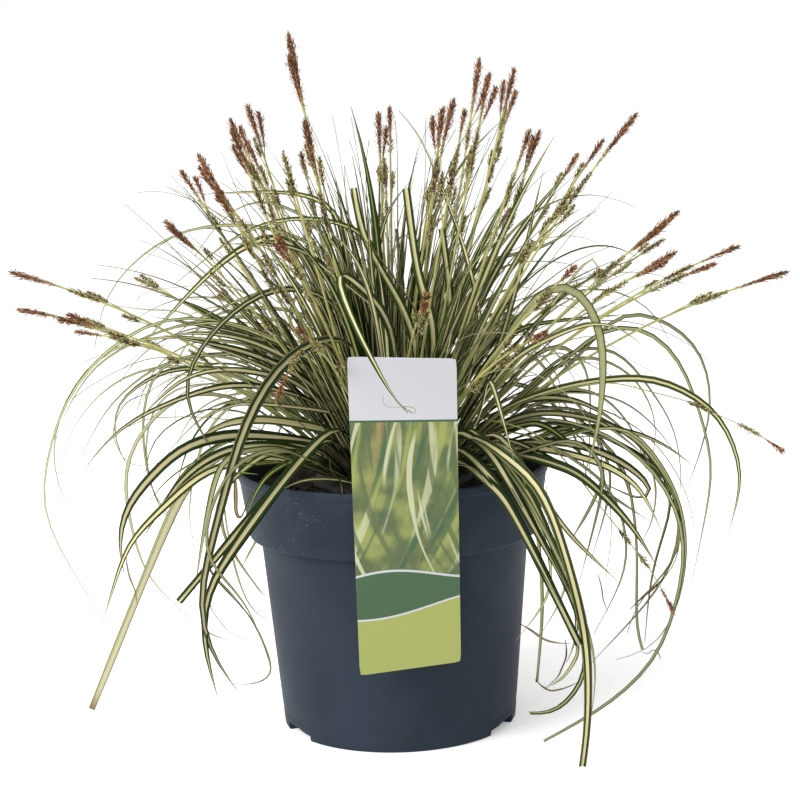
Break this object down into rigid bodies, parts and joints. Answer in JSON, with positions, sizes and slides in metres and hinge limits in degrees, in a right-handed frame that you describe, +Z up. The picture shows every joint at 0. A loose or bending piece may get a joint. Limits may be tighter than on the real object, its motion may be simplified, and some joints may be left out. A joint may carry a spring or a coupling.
{
  "type": "potted variegated sedge",
  "caption": "Fountain-shaped clump of narrow striped sedge leaves and scaly flower spikes, growing in a round tapered nursery pot with a hang-on card.",
  "frame": {"origin": "centre of the pot's underside, in the plane that it stands on", "axes": "+Z up along the pot's axis, -Y towards the front where the card hangs, +X to the right seen from the front"},
  "size_m": [0.4722, 0.3833, 0.42],
  "materials": {
    "pot_plastic": "dark slate-blue moulded polypropylene, matt, faintly scuffed on the collar",
    "soil": "moist dark peat compost with fibres and lumps",
    "card": "printed plastic card, smooth with a soft shine",
    "leaf": "cream-yellow centre stripe between dark green margins, fine lengthwise veins, satin",
    "flower_stem": "yellow-green three-sided stems, tan-green and red-brown scaly spikes, matt"
  },
  "bodies": {
    "root": {"pot": "pot_plastic", "soil": "soil", "label_card": "card", "sedge_leaves": "leaf", "flower_stem_01": "flower_stem", "flower_stem_02": "flower_stem", "flower_stem_03": "flower_stem", "flower_stem_04": "flower_stem", "flower_stem_05": "flower_stem", "flower_stem_06": "flower_stem", "flower_stem_07": "flower_stem", "flower_stem_08": "flower_stem", "flower_stem_09": "flower_stem", "flower_stem_10": "flower_stem", "flower_stem_11": "flower_stem", "flower_stem_12": "flower_stem", "flower_stem_13": "flower_stem", "flower_stem_14": "flower_stem", "flower_stem_15": "flower_stem", "flower_stem_16": "flower_stem", "flower_stem_17": "flower_stem", "flower_stem_18": "flower_stem", "flower_stem_19": "flower_stem", "flower_stem_20": "flower_stem", "flower_stem_21": "flower_stem", "flower_stem_22": "flower_stem", "flower_stem_23": "flower_stem", "flower_stem_24": "flower_stem", "flower_stem_25": "flower_stem", "flower_stem_26": "flower_stem", "flower_stem_27": "flower_stem", "flower_stem_28": "flower_stem", "flower_stem_29": "flower_stem", "flower_stem_30": "flower_stem", "flower_stem_31": "flower_stem", "flower_stem_32": "flower_stem", "flower_stem_33": "flower_stem", "flower_stem_34": "flower_stem", "flower_stem_35": "flower_stem", "flower_stem_36": "flower_stem", "flower_stem_37": "flower_stem", "flower_stem_38": "flower_stem", "flower_stem_39": "flower_stem", "flower_stem_40": "flower_stem", "flower_stem_41": "flower_stem", "flower_stem_42": "flower_stem", "flower_stem_43": "flower_stem", "flower_stem_44": "flower_stem", "flower_stem_45": "flower_stem", "flower_stem_46": "flower_stem", "flower_stem_47": "flower_stem", "flower_stem_48": "flower_stem", "flower_stem_49": "flower_stem", "flower_stem_50": "flower_stem", "flower_stem_51": "flower_stem"}
  },
  "joints": []
}
